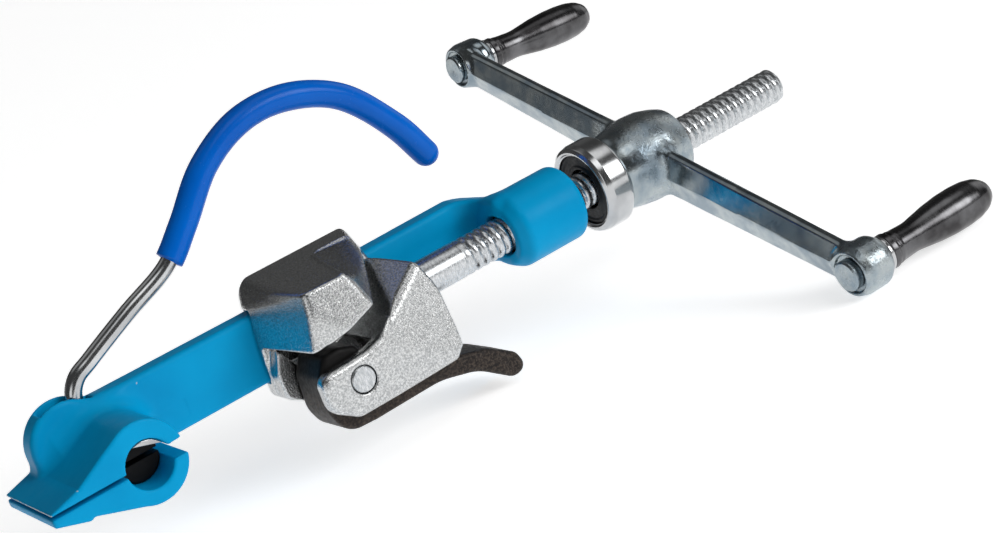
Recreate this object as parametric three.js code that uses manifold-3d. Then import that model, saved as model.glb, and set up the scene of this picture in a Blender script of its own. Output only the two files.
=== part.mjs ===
// Screw-type strapping tensioner tool: a cast body with a slotted nose and a rotary band cutter,
// a tension block with a gripper lever that a threaded screw draws along the body's bar, and a
// two-armed crank whose hub is the nut. Millimetres, +Z up, +X along the screw from nose to crank.
// While it is built, the screw axis is X (y = 0, z = 0) and x = 0 is the front face of the boss.
import * as THREE from 'three';
import { mergeVertices } from 'three/addons/utils/BufferGeometryUtils.js';
import Module from 'manifold-3d';

const wasm = await Module();
wasm.setup();

// ---------------------------------------------------------------- driving dimensions
const CLEARANCE = 0.3;              // gap between touching or sliding pieces
const SCREW_R = 6.4;
const SCREW_FRONT = -49.5;
const SCREW_TIP = 125.7;

const BAR_NEAR = 14.7;              // y of the bar's faces
const BAR_FAR = 24.2;
const BAR_BOTTOM = -10.5;
const BAR_TOP_FRONT = 12.3;         // the bar is a little taller at the boss than at the nose
const BAR_TOP_REAR = 13.8;
const JAW_NEAR = -14.7;             // y of the jaws' open side

const CUTTER_X = -147.5;
const CUTTER_Z = -4.7;              // also the height at which the band runs
const CUTTER_BORE_R = 7.85;
const BAND_SLOT = 1.3;

const BOSS_R = 13.4;
const BOSS_LENGTH = 27.5;

const BLOCK_FRONT = -91;
const BLOCK_REAR = -37;
const BLOCK_NEAR = -16.8;
const BLOCK_FAR = 28.6;
const CHEEK_INSIDE_NEAR = -11.8;
const CHEEK_INSIDE_FAR = 7;
const GRIPPER_X = -73.6;
const GRIPPER_Z = -14.3;
const GRIPPER_PIN_R = 4.35;

const CRANK_R = 103;                // screw axis to handle spindle
const CRANK_ANGLE = THREE.MathUtils.degToRad(20.6);
const CRANK_X = 62.5;               // middle plane of the crank's arms
const HUB_FRONT = 46.4;
const HUB_REAR = 76;
const SPINDLE_X = 56.9;             // front of the handle spindles' heads
const GRIP_END = 122.5;
const FAR_HANDLE_DROOP = THREE.MathUtils.degToRad(3);

const BEARING_FRONT = 34.5;
const BEARING_REAR = 46.1;
const BEARING_R = 16.1;
const BALLS = 9;
const BALL_R = 1.5;
const BALL_CIRCLE_R = 10.4;
const BALL_X = 41.2;

// ---------------------------------------------------------------- finishes
const finish = (color, roughness, metalness) => ({ color, roughness, metalness });
const BLUE_PAINT = finish(0x0a93cb, 0.4, 0.1);
const BLUE_VINYL = finish(0x005fc8, 0.25, 0);
const CAST_ZINC = finish(0xb9bdbf, 0.42, 0.9);
const ZINC_PLATE = finish(0x9aa6ac, 0.35, 0.9);
const BRIGHT_STEEL = finish(0xd2d4d6, 0.2, 1);
const TURNED_STEEL = finish(0x55575a, 0.25, 1);
const BLACK_OXIDE = finish(0x17181a, 0.45, 0.7);
const BROWN_OXIDE = finish(0x332c29, 0.5, 0.6);
const BLACK_RUBBER = finish(0x121212, 0.7, 0);
const BRONZE = finish(0x9c7a3c, 0.4, 0.9);

// ---------------------------------------------------------------- solids
// A closed geometry as a solid for cutting and joining, with its faces turned outwards.
function solid(geometry) {
  const bare = geometry.clone();
  bare.deleteAttribute('normal');
  bare.deleteAttribute('uv');
  const merged = mergeVertices(bare, 1e-4);
  const p = merged.attributes.position.array;
  const index = merged.index.array;
  const a = new THREE.Vector3();
  const b = new THREE.Vector3();
  const c = new THREE.Vector3();
  const kept = [];
  let volume = 0;
  for (let i = 0; i < index.length; i += 3) {
    const [u, v, w] = index.slice(i, i + 3);
    if (u === v || v === w || w === u) continue;
    kept.push(u, v, w);
    volume += a.fromArray(p, 3 * u).dot(b.fromArray(p, 3 * v).cross(c.fromArray(p, 3 * w)));
  }
  const triVerts = new Uint32Array(volume < 0 ? kept.reverse() : kept);
  return new wasm.Manifold(new wasm.Mesh({ numProp: 3, vertProperties: p, triVerts }));
}

function join(first, ...others) {
  return others.reduce((sum, other) => sum.add(other), first);
}

function cut(first, ...others) {
  return others.reduce((rest, other) => rest.subtract(other), first);
}

function moved(shape, matrix) {
  return shape.transform(matrix.elements);
}

function mesh(name, shape, { color, roughness, metalness }) {
  const { vertProperties, triVerts } = shape.getMesh();
  const geometry = new THREE.BufferGeometry();
  geometry.setAttribute('position', new THREE.BufferAttribute(vertProperties, 3));
  geometry.setIndex(new THREE.BufferAttribute(triVerts, 1));
  geometry.computeVertexNormals();
  const made = new THREE.Mesh(geometry, new THREE.MeshStandardMaterial({ color, roughness, metalness }));
  made.name = name;
  return made;
}

// Corners [u, v, radius] as a closed outline, each rounded by its radius (none: sharp).
function outline(corners, steps = 5) {
  const points = [];
  corners.forEach(([u, v, radius = 0], i) => {
    const corner = new THREE.Vector2(u, v);
    if (!radius) {
      points.push(corner);
      return;
    }
    const before = corners[(i + corners.length - 1) % corners.length];
    const after = corners[(i + 1) % corners.length];
    const back = new THREE.Vector2(before[0] - u, before[1] - v).normalize();
    const ahead = new THREE.Vector2(after[0] - u, after[1] - v).normalize();
    const half = Math.acos(THREE.MathUtils.clamp(back.dot(ahead), -1, 1)) / 2;
    const centre = back.clone().add(ahead).normalize().multiplyScalar(radius / Math.sin(half)).add(corner);
    const start = back.multiplyScalar(radius / Math.tan(half)).add(corner).sub(centre);
    const end = ahead.multiplyScalar(radius / Math.tan(half)).add(corner).sub(centre);
    const turn = Math.atan2(start.cross(end), start.dot(end));
    for (let k = 0; k <= steps; k += 1) {
      points.push(start.clone().rotateAround(new THREE.Vector2(), (turn * k) / steps).add(centre));
    }
  });
  return points;
}

// Points of an arc about (u, v), from one angle to the other in degrees.
function arc(u, v, radius, from, to, steps = 12) {
  return Array.from({ length: steps + 1 }, (_, k) => {
    const angle = THREE.MathUtils.degToRad(from + ((to - from) * k) / steps);
    return [u + radius * Math.cos(angle), v + radius * Math.sin(angle)];
  });
}

function extruded(corners, depth) {
  const shape = new THREE.Shape(outline(corners));
  return new THREE.ExtrudeGeometry(shape, { depth, bevelEnabled: false });
}

// An outline in x and z, from one y to the other.
function alongY(corners, y0, y1) {
  return solid(extruded(corners, y1 - y0).rotateX(Math.PI / 2).translate(0, y1, 0));
}

// An outline in x and y, from one z to the other.
function alongZ(corners, z0, z1) {
  return solid(extruded(corners, z1 - z0).translate(0, 0, z0));
}

// A turned shape about X: profile points [x, radius], closing on themselves or on the axis.
function turned(profile, segments = 32) {
  const points = profile.map(([x, r]) => new THREE.Vector2(r, x));
  return solid(new THREE.LatheGeometry(points, segments).rotateZ(-Math.PI / 2));
}

function rod(x0, x1, radius, segments = 32) {
  return turned([[x0, 0], [x0, radius], [x1, radius], [x1, 0]], segments);
}

function ring(x0, x1, inner, outer, segments = 32) {
  return turned([[x0, inner], [x0, outer], [x1, outer], [x1, inner], [x0, inner]], segments);
}

// A round bar parallel to Y through (x, z).
function rodY(x, z, radius, y0, y1, segments = 32) {
  const turn = new THREE.Matrix4().makeRotationZ(Math.PI / 2);
  return moved(moved(rod(y0, y1, radius, segments), turn), new THREE.Matrix4().makeTranslation(x, 0, z));
}

// The half space beyond a plane, as a large box: cutting it off leaves what lies behind the plane.
function beyond(point, normal) {
  const size = 400;
  const box = new THREE.BoxGeometry(size, size, size).translate(0, 0, size / 2);
  const turn = new THREE.Quaternion().setFromUnitVectors(new THREE.Vector3(0, 0, 1), normal.normalize());
  return solid(box.applyQuaternion(turn).translate(...point));
}

function beyondThree(a, b, c) {
  const [p, q, r] = [a, b, c].map((v) => new THREE.Vector3(...v));
  return beyond(a, q.sub(p).cross(r.sub(p)));
}

// A round bar along a curve.
function bentRod(curve, radius, steps, sides) {
  const section = new THREE.Shape(outline(arc(0, 0, radius, 0, 360 - 360 / sides, sides - 1)));
  return solid(new THREE.ExtrudeGeometry(section, { steps, extrudePath: curve }));
}

// Sections with the same number of points, each a list of Vector3, joined into one closed body.
function loft(sections) {
  const count = sections[0].length;
  const positions = sections.flat().flatMap((v) => v.toArray());
  const index = [];
  for (let s = 0; s + 1 < sections.length; s += 1) {
    for (let k = 0; k < count; k += 1) {
      const a = s * count + k;
      const b = s * count + ((k + 1) % count);
      index.push(a, b, b + count, a, b + count, a + count);
    }
  }
  const last = (sections.length - 1) * count;
  for (let k = 1; k + 1 < count; k += 1) index.push(0, k + 1, k, last, last + k, last + k + 1);
  const geometry = new THREE.BufferGeometry();
  geometry.setAttribute('position', new THREE.Float32BufferAttribute(positions, 3));
  geometry.setIndex(index);
  return solid(geometry);
}

// ---------------------------------------------------------------- body casting
const SLOT_START = 100;             // angle of the cutter handle's root at rest, about the cutter
const SLOT_END = 122;
const HANDLE_Y = 19.2;
const HANDLE_ROD_R = 2.8;

function jawOutline() {
  return [
    [-181.4, -7.9], [-181.4, -3.6], [-170.6, -0.6], [-160.7, 4.7],
    ...arc(-148, -3.2, 12.8, 118, 8),
    ...arc(CUTTER_X, CUTTER_Z, 12.8, -10, -118),
    [-169.3, -10.6], [-170.4, -11.4],
  ];
}

function barOutline() {
  return [
    ...arc(-153, -2.3, 19.3, 192, 62),
    [-136, BAR_TOP_FRONT], [-4, BAR_TOP_REAR], [-4, BAR_BOTTOM], [-160, BAR_BOTTOM],
  ];
}

// The bend that brings the bar across to the boss, seen from above.
function bendOutline() {
  return [
    [-20, BAR_NEAR], [-1, BAR_NEAR, 8], [-0.5, -3, 2], [22, -3], [24, 10, 5], [5, 13, 7],
    [1, BAR_FAR, 6], [-20, BAR_FAR],
  ];
}

// The sector that the cutter handle's root sweeps, open at the plate's rim.
function handleSlot() {
  const half = HANDLE_ROD_R + CLEARANCE;
  const sector = [[CUTTER_X, CUTTER_Z], ...arc(CUTTER_X, CUTTER_Z, 34, SLOT_START - 4, SLOT_END, 8)];
  const sides = [SLOT_START - 4, SLOT_END].map((angle) => {
    const turn = new THREE.Matrix4().makeTranslation(CUTTER_X, 0, CUTTER_Z)
      .multiply(new THREE.Matrix4().makeRotationY(-THREE.MathUtils.degToRad(angle)));
    return moved(alongY([[0, -half], [34, -half], [34, half], [0, half]], -half, half), turn);
  });
  const wedge = alongY(sector, -half, half);
  return moved(join(wedge, ...sides), new THREE.Matrix4().makeTranslation(0, HANDLE_Y, 0));
}

function bodyCasting() {
  const jaws = alongY(jawOutline(), JAW_NEAR, BAR_FAR);
  const lip = alongY(
    [[-181.4, -7.9], [-181.4, -3.6], [-170.6, -0.6], [-168, -0.6], [-168, -10.9], [-170.4, -11.4]],
    BAR_FAR - 2, 25.5,
  );
  const bar = alongY(barOutline(), BAR_NEAR, BAR_FAR);
  const bend = alongZ(bendOutline(), BAR_BOTTOM, BAR_TOP_REAR - 1.2);
  const boss = turned([
    [-0.5, 0], [-0.5, 10], [1.5, 12.8], [5, BOSS_R], [24, BOSS_R], [26.6, 12.4], [BOSS_LENGTH, 10.5],
    [BOSS_LENGTH, 0],
  ]);
  const bore = rodY(CUTTER_X, CUTTER_Z, CUTTER_BORE_R, JAW_NEAR - 1, BAR_FAR + 1);
  const half = BAND_SLOT / 2;
  const bandSlot = alongY(
    [[-200, CUTTER_Z - half], [CUTTER_X, CUTTER_Z - half], [CUTTER_X, CUTTER_Z + half],
      [-200, CUTTER_Z + half]],
    JAW_NEAR - 1, BAR_NEAR,
  );
  const noseSlot = alongY(
    [[-200, CUTTER_Z - half], [-172.5, CUTTER_Z - half], [-172.5, CUTTER_Z + half], [-200, CUTTER_Z + half]],
    0, 30,
  );
  const bandMouth = alongY(
    [[CUTTER_X, -7.1], [-120, -6.7], [-120, -1.2], [-136, -1.9], [CUTTER_X, -2.3]],
    JAW_NEAR - 1, BAR_NEAR,
  );
  const bushSeat = join(rod(2, 26, 9), rod(-20, 30, 7.3));
  return cut(join(jaws, lip, bar, bend, boss), bore, bandSlot, noseSlot, bandMouth, handleSlot(), bushSeat);
}

function bossBush() {
  return ring(2 + CLEARANCE, 26 - CLEARANCE, SCREW_R + CLEARANCE, 9 - CLEARANCE, 32);
}

// ---------------------------------------------------------------- cutter
const SHAFT_R = CUTTER_BORE_R - CLEARANCE;
const SHAFT_NEAR = -4;
const SHAFT_FAR = 27.4;
const RING_Y = 24.6;                // the retaining ring lies against the bar's far face
const RING_THICK = 1.1;
const GROOVE_R = 6.2;

function aboutCutter(angle) {
  return new THREE.Matrix4().makeTranslation(CUTTER_X, HANDLE_Y, CUTTER_Z)
    .multiply(new THREE.Matrix4().makeRotationY(-THREE.MathUtils.degToRad(angle)));
}

function cutterShaft() {
  const shaft = rodY(CUTTER_X, CUTTER_Z, SHAFT_R, SHAFT_NEAR, SHAFT_FAR);
  const half = BAND_SLOT / 2;
  const slit = alongY(
    [[-160, CUTTER_Z - half], [-135, CUTTER_Z - half], [-135, CUTTER_Z + half], [-160, CUTTER_Z + half]],
    SHAFT_NEAR - 1, 14.2,
  );
  const rodHole = moved(rod(2.4, 12, HANDLE_ROD_R + CLEARANCE, 16), aboutCutter(SLOT_START));
  const groove = cut(
    rodY(CUTTER_X, CUTTER_Z, 12, RING_Y, RING_Y + RING_THICK + 0.2),
    rodY(CUTTER_X, CUTTER_Z, GROOVE_R, RING_Y - 1, RING_Y + 3),
  );
  return cut(shaft, slit, rodHole, groove);
}

function cutterRetainingRing() {
  const y0 = RING_Y + 0.05;
  const outer = rodY(CUTTER_X, CUTTER_Z, 10, y0, y0 + RING_THICK);
  const inner = rodY(CUTTER_X, CUTTER_Z, GROOVE_R + 0.1, y0 - 1, y0 + 3);
  const gap = alongY(
    [[CUTTER_X - 2.4, CUTTER_Z], [CUTTER_X + 2.4, CUTTER_Z], [CUTTER_X + 2.4, CUTTER_Z - 14],
      [CUTTER_X - 2.4, CUTTER_Z - 14]],
    y0 - 1, y0 + 3,
  );
  return cut(outer, inner, gap);
}

// The ground segment at the top of the bore that shears the band when the shaft turns.
function cutterBlade() {
  const chord = 5.8;
  const segment = rodY(CUTTER_X, CUTTER_Z, SHAFT_R, -13.9, SHAFT_NEAR - CLEARANCE);
  const up = new THREE.Vector3(0.294, 0, 0.956);
  const point = [CUTTER_X + up.x * chord, 0, CUTTER_Z + up.z * chord];
  return segment.intersect(beyond(point, up));
}

const HANDLE_PATH = [
  [-148, -1.8], [-149.6, 7.4], [-151, 14.8], [-147.8, 20.2], [-141.5, 23.4], [-124.4, 31.3], [-106.6, 38.9],
  [-96.1, 48.2], [-81.7, 62.4], [-65, 70.4], [-47.5, 70.8], [-28.7, 63.2], [-13.4, 45.8], [-6.2, 32.4],
];
const GRIP_R = 4.65;

function handleCurve() {
  const points = HANDLE_PATH.map(([x, z]) => new THREE.Vector3(x, HANDLE_Y, z));
  return new THREE.CatmullRomCurve3(points, false, 'centripetal');
}

// The stretch of the handle's curve from one fraction of its length to another.
class CurvePart extends THREE.Curve {
  constructor(whole, from, to) {
    super();
    this.whole = whole;
    this.from = from;
    this.to = to;
  }

  getPoint(t, target) {
    return this.whole.getPointAt(this.from + (this.to - this.from) * t, target);
  }
}

const GRIP_START = 0.35;            // fraction of the handle's length where the grip begins
const ROD_STOP = 0.985;

function cutterHandleRod() {
  return bentRod(new CurvePart(handleCurve(), 0, ROD_STOP), HANDLE_ROD_R, 36, 10);
}

function cutterHandleGrip() {
  const curve = handleCurve();
  const outer = bentRod(new CurvePart(curve, GRIP_START, 1), GRIP_R, 24, 12);
  const end = solid(new THREE.SphereGeometry(GRIP_R, 12, 6).translate(...curve.getPoint(1).toArray()));
  const hole = new CurvePart(curve, GRIP_START - 0.01, ROD_STOP + 0.004);
  const core = bentRod(hole, HANDLE_ROD_R + CLEARANCE, 26, 10);
  return cut(join(outer, end), core);
}

// ---------------------------------------------------------------- tension block
const ANVIL = [[-96, -2.9], [-84.1, -0.9], [-71.3, 2.2], [-60.9, 5.7]];   // upper side of the band slot
const SLOT_FLOOR = [[-83, -7], [-76, -6.8], [-68.7, -6.3], [-63.3, -4.8], [-57, -0.2]];
const SLOT_END_Y = 12;              // the band slot is closed by a web beside the bar
const RIDGE_FAR = [-46, 8, 14.5];   // the ridge behind the slot that the band's tail leaves over
const RIDGE_NEAR = [-38.8, -13.4, 10.4];
const POCKET_ROOF = -15.5;          // roof of the space behind the lever's pin
const LOCK_PIN_X = -44;
const LOCK_PIN_R = 1.5;

// The part that wraps the bar, with its front and rear faces slanted.
function blockSleeve() {
  const side = alongY(
    [[-92, -14.8], [-92, 15.3], [-85, 18.2], [-81, 22, 1.5], [-42, 22, 3], [-36.2, 10], [-36.2, -14.8]],
    SLOT_END_Y, BLOCK_FAR,
  );
  const plan = alongZ(
    [[-91.3, SLOT_END_Y], [BLOCK_FRONT, BAR_NEAR], [-84.6, BLOCK_FAR, 2], [-36, BLOCK_FAR, 2], [-36, SLOT_END_Y]],
    -30, 30,
  );
  const rear = beyondThree([-46.4, 8, 15.3], [-36.5, BLOCK_FAR, 9.6], [-40.7, BLOCK_FAR, 20.7]);
  return cut(side.intersect(plan), rear);
}

// The part above the band slot: a wedge whose lower side is the anvil.
function blockUpperJaw() {
  const side = alongY(
    [...ANVIL, [-44, 16], [-44, 22], [-81, 22], [-85, 18.2], [-92, 15.3], [-96, 15.3]],
    BLOCK_NEAR, BAR_NEAR - 1,
  );
  const top = beyondThree([-79, BLOCK_NEAR, 18.7], [-66.4, BLOCK_NEAR, 18.6], [-60, SLOT_END_Y, 22]);
  const rear = beyondThree([-60.9, BLOCK_NEAR, 5.7], [-46.4, 8, 15.3], [-66.4, BLOCK_NEAR, 18.6]);
  const front = beyondThree([BLOCK_FRONT, BAR_NEAR, 5], [-84, BLOCK_NEAR, -1], [-80, BLOCK_NEAR, 18]);
  const mouth = beyondThree([-84, BLOCK_NEAR, -0.9], [-87, SLOT_END_Y, 2.8], [-71.3, BLOCK_NEAR, 2.2])
    .intersect(alongY([[-100, -10], [-79, -10], [-79, 8], [-100, 8]], BLOCK_NEAR - 1, SLOT_END_Y));
  return cut(side, top, rear, front, mouth);
}

// The part below the slot: the ramp and ridge, the screw's socket and the lever's two cheeks.
function blockLowerJaw() {
  const behindSlot = [[-46, 14.5], [-36, 14.5]];
  const near = alongY(
    [...SLOT_FLOOR, ...behindSlot, [-36, -21], [-39.5, -24.8, 2.5], [-64, -25.3, 8], [-79, -25.3, 5],
      [-87.8, -19.5, 6], [-87.8, -8, 4]],
    BLOCK_NEAR, CHEEK_INSIDE_FAR,
  );
  const far = alongY(
    [[-88, 0.5], ...SLOT_FLOOR, ...behindSlot, [-36, -18], [-64, -20], [-84, -19.8, 3], [-90.8, -16, 4],
      [-90.8, -7, 6]],
    CHEEK_INSIDE_FAR, BAR_NEAR - 1,
  );
  const pocket = alongY(
    [[-110, -3], [-84, -3], [-66, -3], [-61, -8, 3], [-59, POCKET_ROOF, 3], [-20, POCKET_ROOF], [-20, -60],
      [-110, -60]],
    CHEEK_INSIDE_NEAR, CHEEK_INSIDE_FAR,
  );
  const ramp = beyondThree([-57, -14.6, -0.2], RIDGE_NEAR, RIDGE_FAR)
    .intersect(alongY([[-57, -30], [-20, -30], [-20, 40], [-57, 40]], BLOCK_NEAR - 1, BAR_NEAR));
  const rear = beyondThree(RIDGE_FAR, RIDGE_NEAR, [-36, -12, 0]);
  const rearFacet = beyondThree([-65.7, BLOCK_NEAR, -5.9], [-38.5, BLOCK_NEAR, -22.4], [-36.5, -14.2, 0]);
  return cut(join(near, far), pocket, ramp, rear, rearFacet);
}

function tensionBlock() {
  const barTunnel = alongY(
    [[-110, BAR_BOTTOM - 0.4], [-110, 14.4], [-20, 14.4], [-20, BAR_BOTTOM - 0.4]],
    BAR_NEAR - CLEARANCE, BAR_FAR + CLEARANCE,
  );
  const socket = rod(SCREW_FRONT - CLEARANCE, -20, SCREW_R + CLEARANCE);
  const pinHole = rodY(GRIPPER_X, GRIPPER_Z, GRIPPER_PIN_R + CLEARANCE, BLOCK_NEAR - 1, 12.3);
  const lockHole = alongZ(arc(LOCK_PIN_X, 0, LOCK_PIN_R + CLEARANCE, 0, 330, 11), POCKET_ROOF - 1, 9);
  return cut(join(blockSleeve(), blockUpperJaw(), blockLowerJaw()), barTunnel, socket, pinHole, lockHole);
}

function tensionScrew() {
  const bar = turned([
    [SCREW_FRONT, 0], [SCREW_FRONT, SCREW_R - 0.6], [SCREW_FRONT + 0.6, SCREW_R], [SCREW_TIP - 1.1, SCREW_R],
    [SCREW_TIP, SCREW_R - 1.1], [SCREW_TIP, 0],
  ]);
  return cut(bar, alongZ(arc(LOCK_PIN_X, 0, LOCK_PIN_R + CLEARANCE, 0, 330, 11), -10, 10));
}

function screwLockPin() {
  return alongZ(arc(LOCK_PIN_X, 0, LOCK_PIN_R, 0, 330, 11), POCKET_ROOF + CLEARANCE, 9 - CLEARANCE);
}

function gripperPin() {
  return rodY(GRIPPER_X, GRIPPER_Z, GRIPPER_PIN_R, BLOCK_NEAR, 12);
}

const LEVER_TOP_AT_SPRING = -24.8;
const SPRING_X = -49;

function gripperLever() {
  const profile = [
    [-82, -3.2, 3], [-85.6, -9, 6], [-86.6, -21, 10], [-83, -29.8, 8], [-72, -30.4, 10], [-46, -30.1, 30],
    [-32, -33.6, 20], [-20.5, -42, 4], [-14.2, -41, 2.5], [-16.5, -34.6, 3], [-26, -28.2, 12], [-38, -25, 15],
    [-55, -24.6, 8], [-65.2, -22.5, 5], [-66, -11, 5], [-70, -4.6, 4], [-76, -2.6, 4],
  ];
  const lever = alongY(profile, CHEEK_INSIDE_NEAR + CLEARANCE, CHEEK_INSIDE_FAR - CLEARANCE);
  return cut(lever, rodY(GRIPPER_X, GRIPPER_Z, GRIPPER_PIN_R + CLEARANCE, -20, 20));
}

// A helix about Z.
class Helix extends THREE.Curve {
  constructor(radius, height, turns) {
    super();
    this.radius = radius;
    this.height = height;
    this.turns = turns;
  }

  getPoint(t, target = new THREE.Vector3()) {
    const angle = 2 * Math.PI * this.turns * t;
    return target.set(this.radius * Math.cos(angle), this.radius * Math.sin(angle), this.height * t);
  }
}

function gripperSpring() {
  const wire = 0.5;
  const low = LEVER_TOP_AT_SPRING + CLEARANCE + wire;
  const high = POCKET_ROOF - CLEARANCE - wire;
  const coil = bentRod(new Helix(3.4, high - low, 3), wire, 42, 6);
  return moved(coil, new THREE.Matrix4().makeTranslation(SPRING_X, -2.4, low));
}

// ---------------------------------------------------------------- crank
// A crank-end frame: x along the spindle from its head, at the end of one arm (+1 far, -1 near).
function crankEnd(side) {
  const y = side * CRANK_R * Math.cos(CRANK_ANGLE);
  const z = side * CRANK_R * Math.sin(CRANK_ANGLE);
  const place = new THREE.Matrix4().makeTranslation(SPINDLE_X, y, z);
  const droop = new THREE.Matrix4().makeRotationY(side > 0 ? FAR_HANDLE_DROOP : 0);
  return place.multiply(droop);
}

const END_BOSS_LENGTH = 15;
const END_BOSS_R = 8.7;
const SPINDLE_R = 3.6;

function crankArm(side) {
  const along = new THREE.Vector3(0, side * Math.cos(CRANK_ANGLE), side * Math.sin(CRANK_ANGLE));
  const up = new THREE.Vector3(0, -Math.sin(CRANK_ANGLE), Math.cos(CRANK_ANGLE));
  const section = (distance, halfHeight, x) => {
    const ridge = 3.9;
    const flat = 1.7;
    const around = [
      [flat, halfHeight], [-flat, halfHeight], [-ridge, 0], [-flat, -halfHeight], [flat, -halfHeight],
      [ridge, 0],
    ];
    return around.map(([dx, dv]) => new THREE.Vector3(x + dx, 0, 0)
      .addScaledVector(along, distance).addScaledVector(up, dv));
  };
  return loft([section(9, 8.4, CRANK_X), section(CRANK_R - 5, 6.7, CRANK_X + 0.8)]);
}

function crankForging() {
  const hub = turned([
    [HUB_FRONT, 0], [HUB_FRONT, 12.6], [49, 13.7], [54, 14.8], [61, 15.8], [67, 15.4], [72, 14],
    [HUB_REAR - 1, 12.8], [HUB_REAR, 11.6], [HUB_REAR, 0],
  ]);
  const ends = [1, -1].map((side) => {
    const boss = turned([
      [0.6, 0], [0.6, 7.6], [1.6, 8.4], [4, END_BOSS_R], [12, END_BOSS_R], [END_BOSS_LENGTH, 7.2],
      [END_BOSS_LENGTH, 0],
    ], 32);
    return moved(boss, crankEnd(side));
  });
  const holes = [1, -1].map((side) => moved(
    join(rod(-5, 3.2, 6.6, 24), rod(-5, 30, SPINDLE_R + CLEARANCE, 24)),
    crankEnd(side),
  ));
  const nutSeat = join(rod(HUB_FRONT + 1.2, HUB_REAR + 5, 9.9), rod(0, 100, 7.4));
  return cut(join(hub, crankArm(1), crankArm(-1), ...ends), nutSeat, ...holes, setScrewSpace(2.3, 8, 22));
}

// A round space square to the crank's arms, on the hub's underside.
function setScrewSpace(radius, from, to) {
  const turn = new THREE.Matrix4().makeRotationX(CRANK_ANGLE)
    .multiply(new THREE.Matrix4().makeTranslation(CRANK_X, 0, 0))
    .multiply(new THREE.Matrix4().makeRotationY(Math.PI / 2));
  return moved(rod(from, to, radius, 16), turn);
}

function driveNut() {
  return cut(ring(HUB_FRONT + 1.5, HUB_REAR - 0.3, SCREW_R + CLEARANCE, 9.6), setScrewSpace(2.3, 8, 20));
}

function nutSetScrew() {
  return setScrewSpace(2, 8.3, 13.2);
}

function handleSpindle(side) {
  const spindle = turned([
    [0, 0], [0, 4.7], [0.5, 5.2], [2.9, 5.2], [2.9, SPINDLE_R], [55, SPINDLE_R], [56, SPINDLE_R - 1], [56, 0],
  ], 24);
  return moved(spindle, crankEnd(side));
}

function handleWasher(side) {
  const x = END_BOSS_LENGTH + CLEARANCE;
  return moved(ring(x, x + 1.5, SPINDLE_R + CLEARANCE, 6.4, 24), crankEnd(side));
}

function handleGrip(side) {
  const start = END_BOSS_LENGTH + 2.1;
  const end = GRIP_END - SPINDLE_X;
  const inner = SPINDLE_R + CLEARANCE;
  const profile = [
    [start, inner], [start, 6.1], [start + 2.6, 6.2], [start + 5, 5.6], [29.5, 5.2], [34, 5.8], [39.5, 6.6],
    [46, 7.15], [52, 7.25], [57, 6.9], [61, 6], [63.6, 4.4], [end - 0.4, 2.2], [end, 0], [57, 0], [57, inner],
    [start, inner],
  ];
  return moved(turned(profile, 28), crankEnd(side));
}

// ---------------------------------------------------------------- thrust bearing
function bearingOuterRing() {
  return turned([
    [BEARING_FRONT + 0.6, 13.2], [BEARING_FRONT, 13.8], [BEARING_FRONT + 0.5, 14.8], [BEARING_FRONT + 2.6, BEARING_R],
    [BEARING_REAR - 1.6, BEARING_R], [BEARING_REAR, 14.6], [BEARING_REAR, 13.2], [BEARING_FRONT + 0.6, 13.2],
  ], 48);
}

function bearingCage() {
  const holes = Array.from({ length: BALLS }, (_, k) => {
    const turn = new THREE.Matrix4().makeRotationX((2 * Math.PI * k) / BALLS);
    const place = new THREE.Matrix4().makeTranslation(0, BALL_CIRCLE_R, 0);
    return moved(rod(BALL_X - 3, BALL_X + 3, BALL_R + 0.2, 12), turn.multiply(place));
  });
  return cut(ring(BALL_X - 0.4, BALL_X + 0.4, 7.9, 12.7, 36), ...holes);
}

function bearingBall(k) {
  const angle = (2 * Math.PI * k) / BALLS;
  const y = BALL_CIRCLE_R * Math.cos(angle);
  const z = BALL_CIRCLE_R * Math.sin(angle);
  return solid(new THREE.SphereGeometry(BALL_R, 10, 6).translate(BALL_X, y, z));
}

// ---------------------------------------------------------------- assembly
const tool = new THREE.Group();

tool.add(mesh('body_casting', bodyCasting(), BLUE_PAINT));
tool.add(mesh('boss_bush', bossBush(), BRONZE));

tool.add(mesh('cutter_shaft', cutterShaft(), BLACK_OXIDE));
tool.add(mesh('cutter_blade', cutterBlade(), BRIGHT_STEEL));
tool.add(mesh('cutter_retaining_ring', cutterRetainingRing(), BLACK_OXIDE));
tool.add(mesh('cutter_handle_rod', cutterHandleRod(), BRIGHT_STEEL));
tool.add(mesh('cutter_handle_grip', cutterHandleGrip(), BLUE_VINYL));

tool.add(mesh('tension_block', tensionBlock(), CAST_ZINC));
tool.add(mesh('tension_screw', tensionScrew(), BRIGHT_STEEL));
tool.add(mesh('screw_lock_pin', screwLockPin(), BRIGHT_STEEL));
tool.add(mesh('gripper_pin', gripperPin(), BRIGHT_STEEL));
tool.add(mesh('gripper_spring', gripperSpring(), BRIGHT_STEEL));
tool.add(mesh('gripper_lever', gripperLever(), BROWN_OXIDE));

tool.add(mesh('crank_forging', crankForging(), ZINC_PLATE));
tool.add(mesh('drive_nut', driveNut(), BRONZE));
tool.add(mesh('nut_set_screw', nutSetScrew(), BLACK_OXIDE));
for (const [side, word] of [[-1, 'near'], [1, 'far']]) {
  tool.add(mesh(`handle_spindle_${word}`, handleSpindle(side), ZINC_PLATE));
  tool.add(mesh(`handle_washer_${word}`, handleWasher(side), BRIGHT_STEEL));
  tool.add(mesh(`handle_grip_${word}`, handleGrip(side), TURNED_STEEL));
}

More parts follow.
